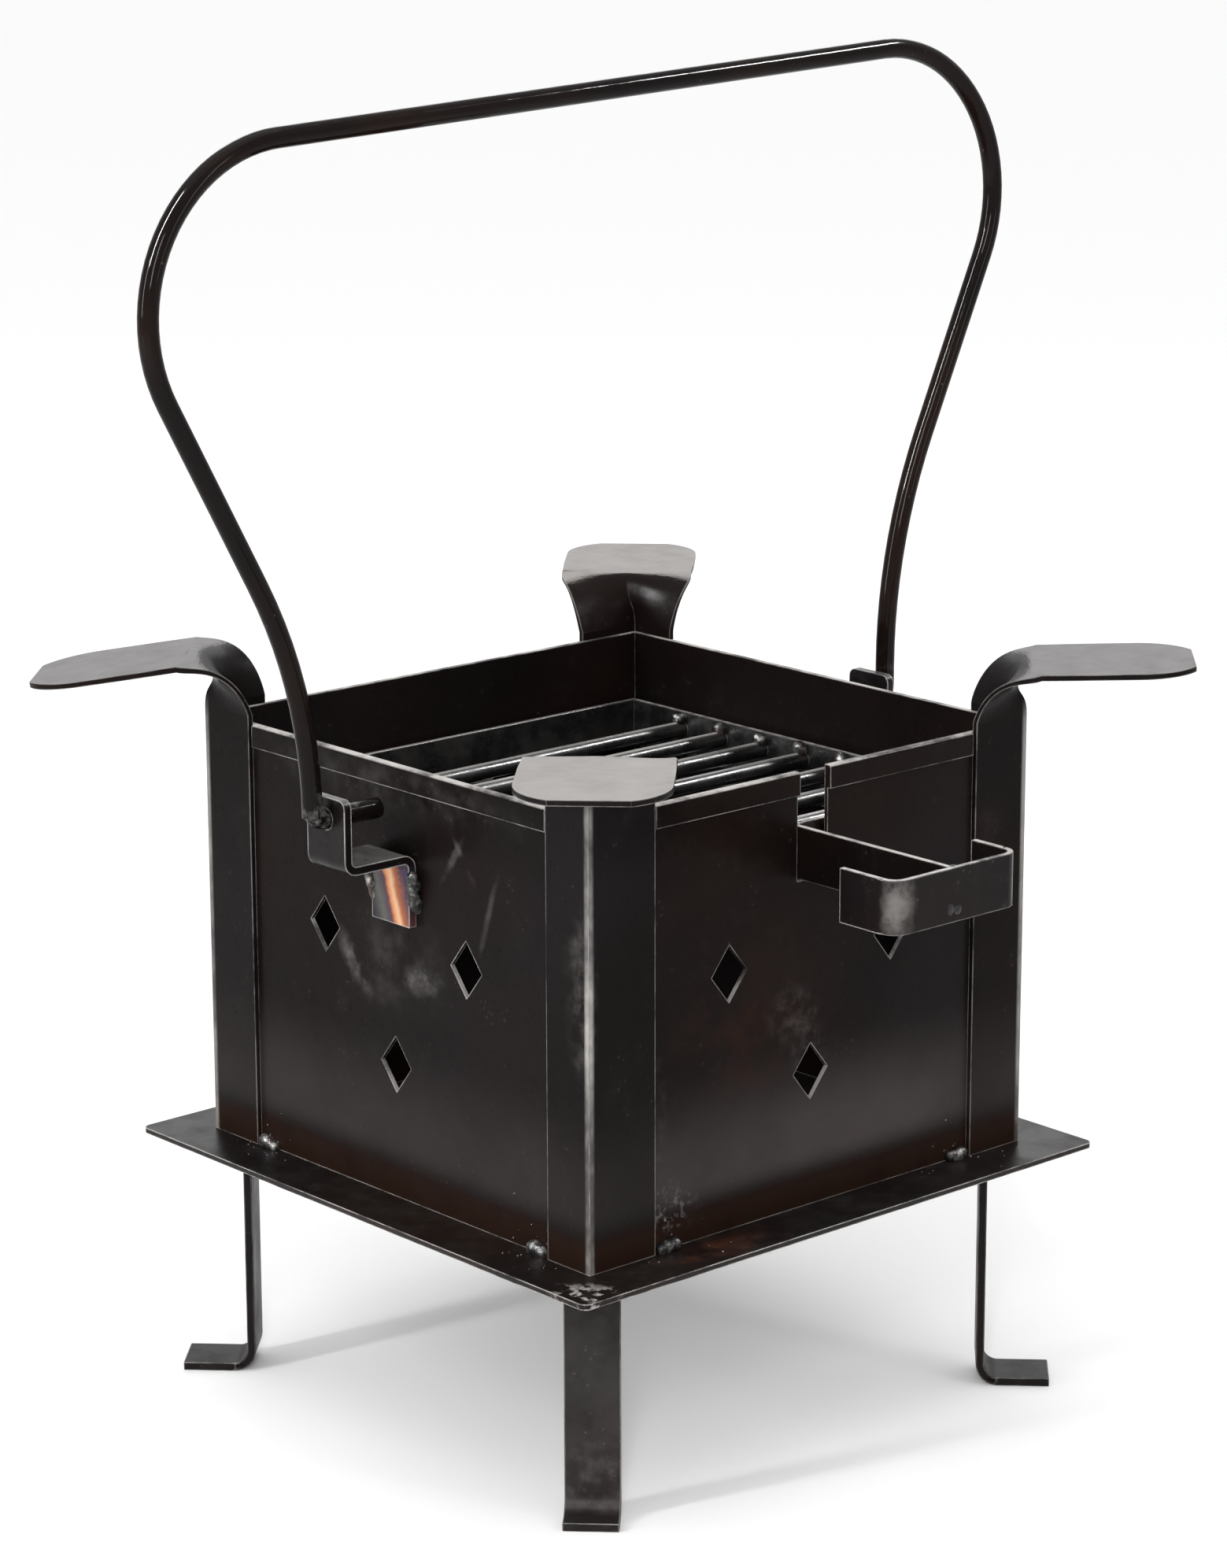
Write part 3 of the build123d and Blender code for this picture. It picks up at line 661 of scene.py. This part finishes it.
def spatter(material):
    """Droplets thrown from the arc, stuck to the steel round each weld."""
    dice = random.Random(7)
    drops = Drops()
    for middle, axis, _, _ in lumps("beads_wall"):
        out = Vector((round(middle.x / 0.1), 0, 0)) if abs(middle.x) > abs(middle.y) else \
            Vector((0, round(middle.y / 0.1), 0))
        out.normalize()
        along = Vector((-out.y, out.x, 0))
        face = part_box("wall_front")[0][1] + 1.4 * MM
        for _ in range(22):
            side = along * dice.gauss(0, 10 * MM)
            size = dice.uniform(0.2, 0.5) * MM
            if dice.random() < 0.55:
                spot = Vector(middle) + side
                spot += out * (abs(face) - spot.dot(out))
                spot.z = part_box("base_plate")[1][2] + abs(dice.gauss(3 * MM, 9 * MM))
                flat = Matrix.Scale(0.6, 4, out)
            else:
                spot = Vector(middle) + side + out * abs(dice.gauss(2 * MM, 6 * MM))
                spot.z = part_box("base_plate")[1][2]
                flat = Matrix.Scale(0.6, 4, Vector((0, 0, 1)))
            drops.ball(spot, size, flat)
    thing = drops.object("weld_spatter")
    smooth(thing.data)
    thing.data.materials.append(material)
    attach(thing, "stove")


# ---------------------------------------------------------------- stage
def floor():
    data = bpy.data.meshes.new("floor")
    mesh = bmesh.new()
    bmesh.ops.create_grid(mesh, x_segments=1, y_segments=1, size=FLOOR_SIZE / 2)
    mesh.to_mesh(data)
    mesh.free()
    thing = bpy.data.objects.new("floor", data)
    bpy.context.scene.collection.objects.link(thing)
    mat = bpy.data.materials.new("floor_white")
    mat.use_nodes = True
    shader = mat.node_tree.nodes["Principled BSDF"]
    shader.inputs["Base Color"].default_value = (FLOOR_GREY, FLOOR_GREY, FLOOR_GREY, 1)
    shader.inputs["Roughness"].default_value = 0.9
    shader.inputs["Specular IOR Level"].default_value = 0.1
    data.materials.append(mat)


def softbox(name, azimuth, elevation, distance, width, height, watts):
    light = bpy.data.lights.new("softbox_" + name, "AREA")
    light.shape, light.size, light.size_y, light.energy = "RECTANGLE", width, height, watts
    thing = bpy.data.objects.new("softbox_" + name, light)
    bpy.context.scene.collection.objects.link(thing)
    a, e = math.radians(azimuth), math.radians(elevation)
    away = Vector((math.sin(a) * math.cos(e), -math.cos(a) * math.cos(e), math.sin(e)))
    thing.location = STAGE_MIDDLE + away * distance
    thing.rotation_euler = away.to_track_quat("Z", "Y").to_euler()
    thing.visible_camera = False
    return thing


def sky():
    world = bpy.data.worlds.new("studio")
    world.use_nodes = True
    back = world.node_tree.nodes["Background"]
    back.inputs["Color"].default_value = (1.0, 1.0, 1.0, 1)
    back.inputs["Strength"].default_value = SKY_LIGHT
    bpy.context.scene.world = world


def sun():
    light = bpy.data.lights.new("overhead", "SUN")
    light.energy, light.angle = SUN_LIGHT, math.radians(SUN_SPREAD)
    bpy.context.scene.collection.objects.link(bpy.data.objects.new("overhead", light))


def camera():
    lens = bpy.data.cameras.new("camera")
    lens.lens, lens.sensor_width, lens.sensor_fit = LENS, SENSOR, "AUTO"
    lens.clip_start, lens.clip_end = 0.05, 60.0
    thing = bpy.data.objects.new("camera", lens)
    bpy.context.scene.collection.objects.link(thing)
    thing.location = CAMERA_AT
    thing.rotation_euler = [math.radians(x) for x in CAMERA_TURN]
    bpy.context.scene.camera = thing


# ---------------------------------------------------------------- the stove
camera()
sky()
sun()
floor()
for box_name, numbers in SOFTBOXES.items():
    softbox(box_name, *numbers)
for box_name, numbers in STREAKS.items():
    softbox(box_name, *numbers).visible_diffuse = False
bpy.context.scene.view_settings.view_transform = "Standard"

weld = weld_metal()
bead_piece("weld_wall", "beads_wall", "stove", weld)
bead_piece("weld_leg", "beads_leg", "stove", weld)
bead_piece("weld_lug", "beads_lug", "stove", weld)
bead_piece("weld_rod", "beads_rod", "grate", weld)
bead_piece("weld_grip", "beads_grip", "grate", weld)
spatter(weld)

wall_looks()
post_looks()
give(plate_look(), "base_plate")
give(heat_tinted("lug_left_steel", "lug_left", 8.0), "lug_left")
give(heat_tinted("lug_right_steel", "lug_right", 9.5), "lug_right")
give(wire_look(), "bail_handle")
give(grate_look(), *[n for n in NODES if n.startswith(("grate_ring", "grate_rod"))])
give(paint("leg_paint", 40.0, leg_marks(), rough=0.36, specular=0.10, dusty=0.6, edge_wear_and_highlight=0.8),
     *[n for n in NODES if n.startswith("leg_")])
give(paint("ledge_paint", 44.0), *[n for n in NODES if n.startswith("grate_ledge")])
# The grip and arm get a painted highlight on the bend and on edges that face up.
give(paint("strip_paint", 50.0, painted_grip_highlight(), rough=0.22, specular=0.07, edge_wear_and_highlight=1.2, dusty=0.5,
           painted_top_highlight=1.3),
     "grate_arm", "grate_grip")

for node_name in NODES:
    if node_name.startswith(("wall_", "lug_", "base_plate", "grate_arm", "grate_grip", "leg_",
                             "grate_ring", "grate_ledge")):
        ease_edges(node_name, EDGE_EASE)
